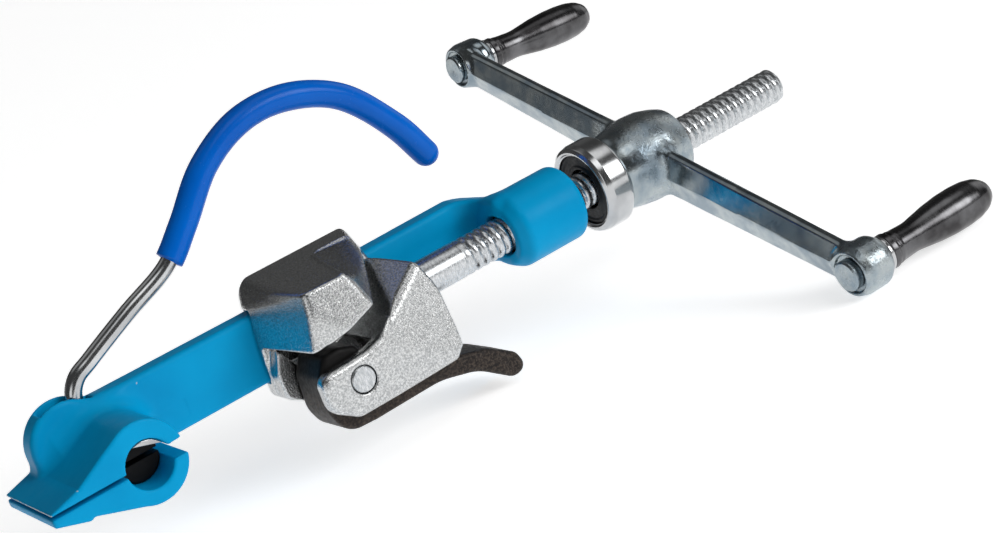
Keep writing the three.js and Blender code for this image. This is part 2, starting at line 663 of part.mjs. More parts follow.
tool.add(mesh('bearing_outer_ring', bearingOuterRing(), BRIGHT_STEEL));
tool.add(mesh('bearing_seal', ring(36, 36.8, 7.2, 12.8), BLACK_RUBBER));
tool.add(mesh('bearing_front_race', ring(37.2, 39.4, 7.9, 12.7), BRIGHT_STEEL));
tool.add(mesh('bearing_rear_race', ring(43, 45.6, 7.9, 12.7), BRIGHT_STEEL));
tool.add(mesh('bearing_cage', bearingCage(), BRONZE));
for (let k = 0; k < BALLS; k += 1) {
  tool.add(mesh(`bearing_ball_${k + 1}`, bearingBall(k), BRIGHT_STEEL));
}

// The origin is the middle of the footprint, at the height of the lowest point.
const extent = new THREE.Box3().setFromObject(tool);
tool.position.set(
  -(extent.min.x + extent.max.x) / 2,
  -(extent.min.y + extent.max.y) / 2,
  -extent.min.z,
);

export default tool;
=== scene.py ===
"""Looks of the screw strapping tensioner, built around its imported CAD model.

Shapes are written in millimetres from the screw's axis where it enters the body's boss, with x along
the screw towards the crank, y towards the body's bar and z up; ORIGIN puts them in the row frame.
"""

import math

import bmesh
import bpy
import numpy as np
from mathutils import Matrix, Vector


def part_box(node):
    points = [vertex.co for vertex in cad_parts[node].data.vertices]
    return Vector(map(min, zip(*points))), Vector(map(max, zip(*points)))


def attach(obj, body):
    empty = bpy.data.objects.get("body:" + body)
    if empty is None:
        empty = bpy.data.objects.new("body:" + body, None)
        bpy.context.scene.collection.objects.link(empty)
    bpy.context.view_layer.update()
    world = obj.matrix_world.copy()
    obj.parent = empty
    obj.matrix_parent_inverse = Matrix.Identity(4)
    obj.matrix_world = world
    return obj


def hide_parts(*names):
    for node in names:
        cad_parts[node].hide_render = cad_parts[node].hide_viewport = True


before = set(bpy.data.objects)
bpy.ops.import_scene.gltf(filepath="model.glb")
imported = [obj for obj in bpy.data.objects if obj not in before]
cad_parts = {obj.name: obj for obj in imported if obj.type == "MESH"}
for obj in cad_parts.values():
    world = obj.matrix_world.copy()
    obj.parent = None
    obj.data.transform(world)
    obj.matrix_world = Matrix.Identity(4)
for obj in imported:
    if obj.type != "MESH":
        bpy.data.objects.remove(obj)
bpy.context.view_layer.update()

MM = 0.001
SCREW_TIP = 125.7
screw_low, screw_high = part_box("tension_screw")
ORIGIN = Vector((screw_high.x - SCREW_TIP * MM, 0, (screw_low.z + screw_high.z) / 2))

# ---------------------------------------------------------------- distance fields
# A field gives, for coordinate arrays, how far a point is outside a shape; it is negative inside.


def both(a, b, r=0.0):
    """Where two fields overlap, with the edge between them rounded to radius r."""
    sharp = np.maximum(a, b)
    if np.max(r) <= 0:
        return sharp
    return np.minimum(-r, sharp) + np.hypot(np.maximum(r + a, 0), np.maximum(r + b, 0))


def either(a, b, r=0.0):
    """Two fields joined, with a fillet of radius r between them."""
    return -both(-a, -b, r)


def without(a, b, r=0.0):
    """The first field with the second cut away."""
    return both(a, -b, r)


def slab(v, low, high):
    return np.maximum(low - v, v - high)


def half_space(a, b, c, x, y, z):
    """Distance in front of the plane through three points, seen turning anticlockwise from the front."""
    a, b, c = (np.array(p, float) for p in (a, b, c))
    normal = np.cross(b - a, c - a)
    normal /= np.linalg.norm(normal)
    return (x - a[0]) * normal[0] + (y - a[1]) * normal[1] + (z - a[2]) * normal[2]


def arc(u, v, radius, start, end, steps=16):
    angles = np.radians(np.linspace(start, end, steps + 1))
    return [(u + radius * math.cos(t), v + radius * math.sin(t)) for t in angles]


def rounded(corners, closed=True, steps=8):
    """Corners (u, v) or (u, v, radius) as points, each corner rounded by its radius."""
    points = []
    count = len(corners)
    for i, corner in enumerate(corners):
        here = np.array(corner[:2], float)
        radius = corner[2] if len(corner) > 2 else 0
        if not radius or (not closed and i in (0, count - 1)):
            points.append(here)
            continue
        back = np.array(corners[i - 1][:2]) - here
        ahead = np.array(corners[(i + 1) % count][:2]) - here
        back /= np.linalg.norm(back)
        ahead /= np.linalg.norm(ahead)
        half = math.acos(np.clip(back @ ahead, -1, 1)) / 2
        bisector = (back + ahead) / np.linalg.norm(back + ahead)
        centre = here + bisector * radius / math.sin(half)
        start = here + back * radius / math.tan(half) - centre
        turn = (math.pi - 2 * half) * np.sign(start[1] * back[0] - start[0] * back[1])
        for t in np.linspace(0, turn, steps + 1):
            cos, sin = math.cos(t), math.sin(t)
            points.append(centre + (start[0] * cos - start[1] * sin, start[0] * sin + start[1] * cos))
    return np.array(points)


def within(points, u, v):
    """Field of a closed outline, for two of the three coordinates."""
    u, v = np.broadcast_arrays(u, v)
    nearest = np.full(u.shape, 1e9)
    inside = np.zeros(u.shape, bool)
    points = np.asarray(points, float)
    for (au, av), (bu, bv) in zip(points, np.roll(points, -1, 0)):
        du, dv = bu - au, bv - av
        if du == dv == 0:
            continue
        along = np.clip(((u - au) * du + (v - av) * dv) / (du * du + dv * dv), 0, 1)
        nearest = np.minimum(nearest, (u - au - along * du) ** 2 + (v - av - along * dv) ** 2)
        if dv:
            inside ^= ((av <= v) != (bv <= v)) & (u < au + (v - av) * du / dv)
    return np.where(inside, -1, 1) * np.sqrt(nearest)


def surface(field, low, high, step):
    """Closed mesh of where a field is zero, by naive surface nets, as points and quads."""
    axes = [np.arange(a - 2 * step, b + 3 * step, step) for a, b in zip(low, high)]
    x, y, z = np.meshgrid(*axes, indexing="ij", sparse=True)
    shape = tuple(len(a) for a in axes)
    distance = np.broadcast_to(field(x, y, z), shape).astype(np.float32)
    stride = np.array([shape[1] * shape[2], shape[2], 1])
    keys, crossings = [], []
    for axis in range(3):
        unit = np.eye(3, dtype=int)[axis]
        near = distance[tuple(slice(0, -1) if i == axis else slice(None) for i in range(3))]
        far = distance[tuple(slice(1, None) if i == axis else slice(None) for i in range(3))]
        index = np.argwhere((near < 0) != (far < 0))
        a = distance[tuple(index.T)]
        b = distance[tuple((index + unit).T)]
        place = index + unit * (a / (a - b))[:, None]
        u, v = np.eye(3, dtype=int)[(axis + 1) % 3], np.eye(3, dtype=int)[(axis + 2) % 3]
        cells = np.stack([(index - u * i - v * j) @ stride for i, j in ((0, 0), (1, 0), (1, 1), (0, 1))], 1)
        cells[a > 0] = cells[a > 0][:, ::-1]
        keys.append(cells)
        crossings.append(np.repeat(place, 4, 0))
    _, vertex = np.unique(np.concatenate(keys), return_inverse=True)
    vertex = vertex.reshape(-1)
    crossings = np.concatenate(crossings)
    count = np.bincount(vertex)
    points = np.stack([np.bincount(vertex, crossings[:, i]) / count for i in range(3)], 1)
    return points * step + [a[0] for a in axes], vertex.reshape(-1, 4)


# ---------------------------------------------------------------- meshes


def lathe(profile, segments=96):
    """Points (x, radius) turned about the x axis. A profile starts and ends on the axis or is closed."""
    profile = np.asarray(profile, float)
    closed = not (profile[0][1] == 0 and profile[-1][1] == 0)
    angles = np.linspace(0, 2 * math.pi, segments, endpoint=False)
    x = np.repeat(profile[:, 0], segments)
    r = profile[:, 1][:, None]
    points = np.stack([x, (r * np.cos(angles)).ravel(), (r * np.sin(angles)).ravel()], 1)
    return points, tube_faces(len(profile), segments, closed)


def tube_faces(rings, segments, closed):
    faces = []
    for i in range(rings if closed else rings - 1):
        a, b = i * segments, (i + 1) % rings * segments
        for k in range(segments):
            m = (k + 1) % segments
            faces.append((a + k, b + k, b + m, a + m))
    return np.array(faces)


def sweep(path, radii, segments=32):
    """A round bar along a path in a plane of constant y."""
    path = np.asarray(path, float)
    ahead = np.gradient(path, axis=0)
    ahead /= np.linalg.norm(ahead, axis=1)[:, None]
    side = np.cross(ahead, (0, 1, 0))
    angles = np.linspace(0, 2 * math.pi, segments, endpoint=False)
    ring = np.cos(angles)[None, :, None] * side[:, None] + np.sin(angles)[None, :, None] * np.array([0, 1, 0])
    points = path[:, None] + ring * np.asarray(radii)[:, None, None]
    return points.reshape(-1, 3), tube_faces(len(path), segments, False)


def piece(name, mesh, body, look, replaced=(), matrix=None, angle=None):
    """A Blender object from points in millimetres and faces, riding on a body and standing for CAD nodes."""
    points, faces = mesh
    if matrix is not None:
        points = np.asarray(points) @ np.array(matrix.to_3x3()).T + np.array(matrix.translation)
    data = bpy.data.meshes.new(name)
    data.from_pydata((np.asarray(points) * MM + np.array(ORIGIN)).tolist(), [], np.asarray(faces).tolist())
    merge(data)
    data.shade_smooth()
    if angle is not None:
        data.set_sharp_from_angle(angle=math.radians(angle))
    data.materials.append(look)
    made = bpy.data.objects.new(name, data)
    bpy.context.scene.collection.objects.link(made)
    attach(made, body)
    for node in replaced:
        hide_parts(node)
    return made


def merge(data):
    """Joins points that coincide, drops faces without area and turns the rest outwards."""
    work = bmesh.new()
    work.from_mesh(data)
    bmesh.ops.remove_doubles(work, verts=work.verts, dist=1e-6)
    bmesh.ops.recalc_face_normals(work, faces=work.faces)
    work.to_mesh(data)
    work.free()


# ---------------------------------------------------------------- materials


def srgb(red, green, blue):
    """A colour given as 0 to 255 screen values, as the shader wants it."""
    screen = (red / 255, green / 255, blue / 255)
    linear = [c / 12.92 if c < 11 / 255 else ((c + 0.055) / 1.055) ** 2.4 for c in screen]
    return (*linear, 1)


class Look:
    """A Principled material, with short calls for its noise, colour and bump nodes. Scales are in 1/mm."""

    def __init__(self, name, colour, metallic, roughness, **sockets):
        self.material = bpy.data.materials.new(name)
        self.material.use_nodes = True
        self.tree = self.material.node_tree
        self.shader = self.tree.nodes["Principled BSDF"]
        self.shader.inputs["Base Color"].default_value = colour
        self.shader.inputs["Metallic"].default_value = metallic
        self.shader.inputs["Roughness"].default_value = roughness
        for socket, value in sockets.items():
            self.shader.inputs[socket.replace("_", " ")].default_value = value
        self.place = self.tree.nodes.new("ShaderNodeTexCoord").outputs["Object"]
        self.last_bump = None

    def node(self, kind, inputs=(), **settings):
        made = self.tree.nodes.new("ShaderNode" + kind)
        for key, value in settings.items():
            setattr(made, key, value)
        for socket, value in dict(inputs).items():
            if isinstance(value, bpy.types.NodeSocket):
                self.tree.links.new(value, made.inputs[socket])
            else:
                made.inputs[socket].default_value = value
        return made

    def stretched(self, factors):
        return self.node("Mapping", {"Vector": self.place, "Scale": factors}).outputs["Vector"]

    def noise(self, scale, detail=2.0, roughness=0.5, stretch=None):
        place = self.stretched(stretch) if stretch else self.place
        inputs = {"Vector": place, "Scale": scale / MM, "Detail": detail, "Roughness": roughness}
        return self.node("TexNoise", inputs).outputs["Fac"]

    def cells(self, scale):
        return self.node("TexVoronoi", {"Vector": self.place, "Scale": scale / MM}).outputs["Distance"]

    def spread(self, value, low, high, to_low, to_high):
        inputs = {"Value": value, "From Min": low, "From Max": high, "To Min": to_low, "To Max": to_high}
        return self.node("MapRange", inputs).outputs["Result"]

    def math(self, operation, a, b=0.0):
        return self.node("Math", {0: a, 1: b}, operation=operation).outputs[0]

    def axis(self, name):
        return self.node("SeparateXYZ", {"Vector": self.place}).outputs[name]

    def near(self, point, reach):
        """1 at a point of the design frame, falling to 0 at a distance in millimetres."""
        centre = ORIGIN + Vector(point) * MM
        away = self.node("VectorMath", {0: self.place, 1: centre}, operation="DISTANCE").outputs["Value"]
        return self.spread(away, 0, reach * MM, 1, 0)

    def blend(self, factor, a, b):
        made = self.node("Mix", {0: factor, 6: a, 7: b}, data_type="RGBA")
        return made.outputs[2]

    def set(self, socket, output):
        self.tree.links.new(output, self.shader.inputs[socket])

    def bump(self, height, depth, strength=1.0):
        """Adds a layer of relief, depth in millimetres."""
        inputs = {"Height": height, "Distance": depth * MM, "Strength": strength}
        if self.last_bump:
            inputs["Normal"] = self.last_bump
        self.last_bump = self.node("Bump", inputs).outputs["Normal"]
        self.set("Normal", self.last_bump)


def blue_paint():
    look = Look("blue_paint", srgb(0, 146, 198), 0, 0.34, Specular_IOR_Level=0.07)
    drift = look.spread(look.noise(0.05, 3), 0.3, 0.7, 0, 1)
    paint = look.blend(drift, srgb(0, 141, 193), srgb(2, 151, 203))
    jaw_edge = look.spread(look.axis("X"), ORIGIN.x - 181 * MM, ORIGIN.x - 180.2 * MM, 1, 0)
    edge_z = ORIGIN.z - 3.9 * MM
    off_edge = look.math("ABSOLUTE", look.math("SUBTRACT", look.axis("Z"), edge_z))
    along_edge = look.spread(off_edge, 0, 0.5 * MM, 1, 0)
    patchy = look.spread(look.noise(1.1, 4), 0.4, 0.6, 0.3, 1)
    worn = look.math("MULTIPLY", look.math("MULTIPLY", jaw_edge, along_edge), patchy)
    for x, y, z in ((-171, -14.5, -0.9), (-181, -14.4, -4.2), (-150, 14.9, 16.2), (-132, 15, 11)):
        chip = look.near((x, y, z), 0.7)
        worn = look.math("MAXIMUM", worn, look.math("MULTIPLY", chip, patchy))
    look.set("Base Color", look.blend(look.spread(worn, 0.25, 0.5, 0, 1), paint, srgb(185, 190, 190)))
    look.set("Roughness", look.spread(look.noise(0.3, 4), 0.3, 0.7, 0.3, 0.4))
    look.bump(look.noise(0.35, 2), 0.03, 0.4)
    look.bump(look.noise(1.6, 2), 0.008, 0.6)
    return look.material


def blue_vinyl():
    look = Look(
        "blue_vinyl", srgb(0, 90, 186), 0, 0.22,
        Specular_IOR_Level=0.14, Coat_Weight=0.03, Coat_Roughness=0.08,
    )
    drift = look.spread(look.noise(0.04, 3), 0.3, 0.7, 0, 1)
    look.set("Base Color", look.blend(drift, srgb(0, 86, 180), srgb(0, 96, 192)))
    look.set("Roughness", look.spread(look.noise(0.5, 3), 0.3, 0.7, 0.17, 0.28))
    look.bump(look.noise(0.12, 2), 0.18, 0.5)
    look.bump(look.noise(1.1, 2), 0.01, 0.5)
    return look.material


def cast_zinc():
    look = Look("cast_zinc", srgb(200, 202, 203), 1, 0.3)
    grain = look.noise(3.2, 4, 0.6)
    coarse = look.noise(1.7, 3, 0.55)
    tone = look.spread(coarse, 0.36, 0.64, 0, 1)
    look.set("Base Color", look.blend(tone, srgb(166, 168, 169), srgb(218, 219, 219)))
    look.set("Roughness", look.spread(look.noise(0.5, 4), 0.3, 0.7, 0.14, 0.24))
    look.bump(look.noise(0.2, 3), 0.2, 0.4)
    look.bump(coarse, 0.1, 1.0)
    look.bump(grain, 0.06, 1.0)
    return look.material


def zinc_plate():
    look = Look("zinc_plate", srgb(176, 188, 194), 1, 0.3)
    fine = look.noise(1.5, 5, 0.6)
    cloud = look.spread(look.noise(0.12, 4, 0.6), 0.38, 0.62, 0, 1)
    look.set("Base Color", look.blend(cloud, srgb(138, 152, 162), srgb(174, 182, 184)))
    across = look.math("ABSOLUTE", look.axis("Y"))
    behind = look.spread(look.axis("X"), ORIGIN.x + 52 * MM, ORIGIN.x + 56 * MM, 0.35, 1)
    on_hub = look.math("MULTIPLY", look.spread(across, 15 * MM, 21 * MM, 1, 0), behind)
    on_end = look.spread(across, 92 * MM, 95 * MM, 0, 1)
    cast = look.math("MAXIMUM", on_hub, on_end)
    patchy = look.spread(look.noise(0.6, 4), 0.3, 0.7, 0.13, 0.21)
    look.set("Roughness", look.math("ADD", patchy, look.math("MULTIPLY", cast, 0.12)))
    look.bump(look.noise(0.2, 2), 0.12, look.spread(cast, 0, 1, 0.1, 0.5))
    look.bump(look.noise(0.9, 4, 0.6), 0.2, look.spread(cast, 0, 1, 0.04, 0.8))
    look.bump(fine, 0.06, look.spread(cast, 0, 1, 0.15, 0.9))
    return look.material


def thread_zinc():
    look = Look("thread_zinc", srgb(205, 208, 210), 1, 0.26)
    streak = look.noise(0.5, 4, 0.6, stretch=(4, 1, 1))
    tone = look.spread(streak, 0.35, 0.65, 0, 1)
    look.set("Base Color", look.blend(tone, srgb(176, 180, 183), srgb(220, 222, 224)))
    look.set("Roughness", look.spread(look.noise(1.2, 3), 0.3, 0.7, 0.22, 0.36))
    look.bump(streak, 0.02, 0.5)
    return look.material


def polished_steel():
    look = Look("polished_steel", srgb(208, 209, 210), 1, 0.16)
    lines = look.noise(1.0, 3, 0.5, stretch=(6, 1, 1))
    tone = look.spread(look.noise(0.06, 3), 0.35, 0.65, 0, 1)
    look.set("Base Color", look.blend(tone, srgb(170, 172, 174), srgb(208, 209, 210)))
    look.set("Roughness", look.spread(lines, 0.3, 0.7, 0.12, 0.24))
    look.bump(lines, 0.006, 0.5)
    return look.material


def turned_steel():
    look = Look("turned_steel", srgb(98, 99, 101), 1, 0.2)
    lines = look.noise(0.5, 5, 0.7, stretch=(9, 0.6, 0.6))
    stain = look.spread(look.noise(0.09, 4), 0.35, 0.65, 0, 1)
    look.set("Base Color", look.blend(stain, srgb(66, 65, 66), srgb(112, 112, 114)))
    look.set("Roughness", look.spread(lines, 0.3, 0.7, 0.16, 0.3))
    look.bump(lines, 0.012, 0.6)
    return look.material


def oxide(name, dark, light, relief, roughness):
    look = Look(name, dark, 0.15, 0.5, Specular_IOR_Level=0.2)
    grain = look.noise(1.2, 6, 0.65)
    mixed = look.blend(look.spread(grain, 0.42, 0.68, 0, 1), dark, light)
    # Painted shade: above a height and ahead of a place along x, the colour is taken down to near black,
    # standing in for the shadow inside the block's band slot.
    painted_shade_height = look.spread(look.axis("Z"), ORIGIN.z - 17 * MM, ORIGIN.z - 12 * MM, 0, 1)
    ahead = look.spread(look.axis("X"), ORIGIN.x - 64 * MM, ORIGIN.x - 58 * MM, 1, 0)
    look.set("Base Color", look.blend(look.math("MULTIPLY", painted_shade_height, ahead), mixed, srgb(12, 11, 11)))
    look.set("Roughness", look.spread(look.noise(0.7, 4), 0.3, 0.7, *roughness))
    look.bump(look.noise(0.3, 3), 0.12, 0.4)
    look.bump(grain, relief, 0.8)
    return look.material


def rubber():
    look = Look("black_rubber", srgb(16, 16, 17), 0, 0.5, Specular_IOR_Level=0.35)
    look.set("Roughness", look.spread(look.noise(0.8, 4), 0.3, 0.7, 0.4, 0.6))
    look.bump(look.noise(1.5, 3), 0.02, 0.6)
    return look.material


def bronze():
    look = Look("bronze", srgb(176, 132, 70), 1, 0.3)
    lines = look.noise(1.0, 3, 0.5, stretch=(6, 1, 1))
    look.set("Base Color", look.blend(look.noise(0.1, 3), srgb(120, 96, 62), srgb(150, 122, 82)))
    look.set("Roughness", look.spread(lines, 0.3, 0.7, 0.24, 0.4))
    look.bump(lines, 0.01, 0.5)
    return look.material


BLUE = blue_paint()
VINYL = blue_vinyl()
CAST = cast_zinc()
PLATE = zinc_plate()
THREAD = thread_zinc()
STEEL = polished_steel()
TURNED = turned_steel()
BLACK = oxide("black_oxide", srgb(9, 9, 10), srgb(24, 24, 26), 0.02, (0.4, 0.55))
BROWN = oxide("brown_oxide", srgb(30, 26, 25), srgb(76, 67, 60), 0.1, (0.36, 0.55))
RUBBER = rubber()
BRONZE = bronze()

for node, look in {
    "boss_bush": BRONZE, "screw_lock_pin": STEEL, "gripper_spring": STEEL, "drive_nut": BRONZE,
    "nut_set_screw": BLACK, "bearing_front_race": STEEL, "bearing_rear_race": STEEL, "bearing_cage": BRONZE,
    **{f"bearing_ball_{k}": STEEL for k in range(1, 10)},
}.items():
    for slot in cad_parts[node].material_slots:
        slot.link = "OBJECT"
        slot.material = look

# ---------------------------------------------------------------- body casting
CUTTER_X, CUTTER_Z = -147.5, -4.7
JAW_NEAR, BAR_NEAR, BAR_FAR = -14.7, 14.7, 24.2
BAR_BOTTOM = -10.5
SCREW_R = 6.4
HANDLE_Y = 19.2
BAND_SLOT_HALF = 0.65
SLOT_START, SLOT_END = 96, 122      # angles about the cutter that the handle's root sweeps, in degrees


def jaw_outline():
    return rounded([
        (-181.4, -7.9), (-181.4, -3.6, 0.3), (-170.6, -0.6, 0.3), (-160.7, 4.7, 14),
        *arc(-148, -3.2, 12.8, 118, 8, 24), *arc(CUTTER_X, CUTTER_Z, 12.8, -10, -118, 24),
        (-169.3, -10.6, 1.5), (-170.4, -11.4, 1),
    ])


def bar_side():
    return rounded([
        (-171.3, -7, 2), *arc(-157.8, 4, 13.5, 180, 66, 24), (-147, 13.1, 6), (-90, 12.8), (-5, 13.8, 6),
        (3, 12, 8), (14, 8), (14, BAR_BOTTOM), (-160, BAR_BOTTOM, 8),
    ])


def bar_plan():
    """The bar and its bend to the boss, seen from above."""
    return rounded([
        (-180, BAR_NEAR), (-1, BAR_NEAR, 8), (-0.5, -3, 2), (14, -3), (20, 8, 5), (5, 13, 7),
        (1, BAR_FAR, 6), (-180, BAR_FAR),
    ])


def body_field(x, y, z):
    far_side = np.minimum(y - 18, both(y - 25.5, x + 168, 0.7))
    jaws = both(within(jaw_outline(), x, z), both(JAW_NEAR - y, far_side), 0.7)
    bar = both(within(bar_plan(), x, y), within(bar_side(), x, z), 1.9)
    fillet = 0.3 + 7 * np.clip((z + 8) / 9, 0, 1) * np.clip((x + 176) / 12, 0, 1)
    from_axis = np.hypot(y, z)
    profile = rounded([(-0.6, 0), (-0.6, 10.2, 1.5), (3, 13.4, 4), (27.5, 13.4, 2.6), (27.5, 0)], steps=6)
    boss = within(profile, x, from_axis)
    solid = either(either(jaws, bar, fillet), boss, 3.0)
    from_cutter = np.hypot(x - CUTTER_X, z - CUTTER_Z)
    solid = without(solid, from_cutter - 7.85, 0.5)
    slot = both(slab(z, CUTTER_Z - BAND_SLOT_HALF, CUTTER_Z + BAND_SLOT_HALF), x - CUTTER_X)
    solid = without(solid, both(slot, np.minimum(x + 172.5, y - BAR_NEAR)), 0.15)
    mouth = within([(CUTTER_X, -7.1), (-120, -6.7), (-120, -1.2), (-136, -1.9), (CUTTER_X, -2.3)], x, z)
    solid = without(solid, both(mouth, y - BAR_NEAR), 0.4)
    solid = without(solid, both(within(handle_sweep(3.1), x, z), np.abs(y - HANDLE_Y) - 3.1), 0.5)
    solid = without(solid, both(from_axis - 7.3, slab(x, -20, 30)), 0.5)
    return without(solid, both(from_axis - 9, slab(x, 2, 26)))


def handle_sweep(half):
    """Outline of the space that the handle's root sweeps about the cutter, from rest to its limit."""
    start, end = math.radians(SLOT_START), math.radians(SLOT_END)
    reach = 34
    first = np.array((math.cos(start), math.sin(start)))
    last = np.array((math.cos(end), math.sin(end)))
    centre = np.array((CUTTER_X, CUTTER_Z))
    aside_first = np.array((first[1], -first[0])) * half
    aside_last = np.array((-last[1], last[0])) * half
    return np.array([
        centre + aside_first, centre + first * reach + aside_first,
        *arc(CUTTER_X, CUTTER_Z, reach, SLOT_START, SLOT_END),
        centre + last * reach + aside_last, centre + aside_last,
    ])


body = surface(body_field, (-181.5, -14.8, -18), (27.6, 25.6, 17.2), 0.5)
piece("body_paint", body, "frame", BLUE, ["body_casting"])

# ---------------------------------------------------------------- cutter
SHAFT_R = 7.55
RING_NEAR, RING_FAR = 24.65, 25.75
EAR_OUT, EAR_DOWN = 4.2, 7.4


def cutter_shaft_field(x, y, z):
    from_cutter = np.hypot(x - CUTTER_X, z - CUTTER_Z)
    shaft = both(from_cutter - SHAFT_R, slab(y, -4, 27.4), 0.5)
    shaft = without(shaft, both(np.abs(z - CUTTER_Z) - BAND_SLOT_HALF, y - 14.2), 0.15)
    return without(shaft, both(6.2 - from_cutter, slab(y, 24.6, 25.9)))


def ring_field(x, y, z):
    from_cutter = np.hypot(x - CUTTER_X, z - CUTTER_Z)
    from_ear = np.hypot(np.abs(x - CUTTER_X) - EAR_OUT, z - CUTTER_Z + EAR_DOWN)
    thickness = slab(y, RING_NEAR, RING_FAR)
    ring = both(both(from_cutter - 10, 6.3 - from_cutter), thickness, 0.25)
    gap = both(np.abs(x - CUTTER_X) - 2.4, z - CUTTER_Z)
    ears = both(from_ear - 2.2, thickness, 0.25)
    return without(without(either(ring, ears, 0.6), gap, 0.3), from_ear - 0.9, 0.2)


def blade_field(x, y, z):
    from_cutter = np.hypot(x - CUTTER_X, z - CUTTER_Z)
    above_chord = (x - CUTTER_X) * 0.294 + (z - CUTTER_Z) * 0.956 - 5.8
    return both(both(from_cutter - SHAFT_R, -above_chord, 0.15), slab(y, -13.9, -4.3), 0.2)


core = surface(cutter_shaft_field, (-155.1, -4, -12.3), (-139.9, 27.4, 2.9), 0.4)
piece("cutter_core", core, "cutter", BLACK, ["cutter_shaft"])
ring = surface(ring_field, (-157.6, 24.6, -14.8), (-137.4, 25.8, 5.4), 0.25)
piece("cutter_ring", ring, "cutter", BLACK, ["cutter_retaining_ring"])
edge = surface(blade_field, (-155, -14, 0), (-139, -4, 3), 0.2)
piece("cutter_edge", edge, "cutter", STEEL, ["cutter_blade"])

ROD_R, GRIP_R = 2.8, 4.55
GRIP_TIP = 4.3
BARE_SHARE = 0.35
HANDLE_PATH = [
    (-148, -1.8), (-149.6, 7.4), (-151, 14.8), (-147.8, 20.2), (-141.5, 23.4), (-124.4, 31.3), (-106.6, 38.9),
    (-96.1, 48.2), (-81.7, 62.4), (-65, 70.4), (-47.5, 70.8), (-28.7, 63.2), (-13.4, 45.8), (-6.2, 32.4),
]


def smooth_path(corners, spacing=0.8):
    """A centripetal Catmull-Rom curve through points in x and z, in even steps."""
    points = np.array([(x, HANDLE_Y, z) for x, z in corners], float)
    first, last = 2 * points[0] - points[1], 2 * points[-1] - points[-2]
    points = np.vstack([first, points, last])
    knots = np.concatenate([[0], np.cumsum(np.linalg.norm(np.diff(points, axis=0), axis=1) ** 0.5)])
    fine = []
    for i in range(1, len(points) - 2):
        (t0, t1, t2, t3), (p0, p1, p2, p3) = knots[i - 1:i + 3], points[i - 1:i + 3]
        for t in np.linspace(t1, t2, 40, endpoint=False):
            a1 = ((t1 - t) * p0 + (t - t0) * p1) / (t1 - t0)
            a2 = ((t2 - t) * p1 + (t - t1) * p2) / (t2 - t1)
            a3 = ((t3 - t) * p2 + (t - t2) * p3) / (t3 - t2)
            b1 = ((t2 - t) * a1 + (t - t0) * a2) / (t2 - t0)
            b2 = ((t3 - t) * a2 + (t - t1) * a3) / (t3 - t1)
            fine.append(((t2 - t) * b1 + (t - t1) * b2) / (t2 - t1))
    fine = np.array(fine + [points[-2]])
    length = np.concatenate([[0], np.cumsum(np.linalg.norm(np.diff(fine, axis=0), axis=1))])
    even = np.linspace(0, length[-1], int(length[-1] / spacing))
    return np.stack([np.interp(even, length, fine[:, i]) for i in range(3)], 1), even


def capped(radii, along, start_round, end_round):
    """Rounds a bar's radii at its two ends, down to a point."""
    for place, depth in ((along - along[0], start_round), (along[-1] - along, end_round)):
        near_end = np.clip(1 - place / depth, 0, 1)
        radii = radii * np.sqrt(np.maximum(1 - near_end ** 2, 0))
    return radii


def cutter_handle():
    path, along = smooth_path(HANDLE_PATH)
    grip_start = along[-1] * BARE_SHARE
    bare = along < grip_start + 4
    rod_radii = capped(np.full(bare.sum(), ROD_R), along[bare], 0.6, 0.6)
    rod = sweep(path[bare], rod_radii, 40)
    piece("cutter_rod", rod, "cutter", STEEL, ["cutter_handle_rod"])
    covered = along > grip_start
    tip = path[-1] + (path[-1] - path[-2]) / np.linalg.norm(path[-1] - path[-2]) * GRIP_TIP
    steps = np.linspace(0, 1, 14)[1:, None]
    grip_path = np.vstack([path[covered], path[-1] + (tip - path[-1]) * np.sin(steps * math.pi / 2)])
    place = np.concatenate([[0], np.cumsum(np.linalg.norm(np.diff(grip_path, axis=0), axis=1))])
    radii = GRIP_R + 0.06 * np.sin(place / 9) + 0.04 * np.sin(place / 3.7 + 1)
    grip = sweep(grip_path, capped(radii, place, 0.9, 4.6), 48)
    piece("cutter_grip", grip, "cutter", VINYL, ["cutter_handle_grip"])


cutter_handle()

# ---------------------------------------------------------------- tension block
BLOCK_NEAR, BLOCK_FAR = -16.8, 28.6
PIN_X, PIN_Z, PIN_R = -73.6, -14.3, 4.35
CHEEK_NEAR, CHEEK_FAR = -11.8, 7
SLOT_FAR = 12
ANVIL = [(-96, -2.9), (-84.1, -0.9), (-71.3, 2.2), (-60.9, 5.7), (-44, 16), (-30, 24.6)]
SLOT_FLOOR = [(-83, -7, 1.5), (-76, -6.8), (-68.7, -6.3, 4), (-63.3, -4.8, 5), (-57, -0.2, 3)]
BEHIND_SLOT = [(-46, 14.5), (-36, 14.5)]
RIDGE_FAR, RIDGE_NEAR = (-46, 8, 14.5), (-38.8, -13.4, 10.4)
TOP_CORNER, REAR_CORNER = (-66.4, BLOCK_NEAR, 18.6), (-46.4, 8, 15.3)


def soft_ramp(v, width=0.7):
    """v where it is positive and 0 elsewhere, with a rounded bend."""
    return (v + np.sqrt(v * v + width * width)) / 2


def top_field(x, y, z):
    """The block's top, with a panel rolled down towards the rear and a thin raised rim along two edges."""
    along = x + 60.3 - 0.18 * (y - 17)
    across = 17 - y
    panel = 0.034 * soft_ramp(along) * soft_ramp(across)
    rim = 0.7 * np.exp(-(both(-along, -across, 3.0) / 0.75) ** 2)
    return (z - 18.6 - 0.062 * (y - BLOCK_NEAR) + panel - rim) * 0.95


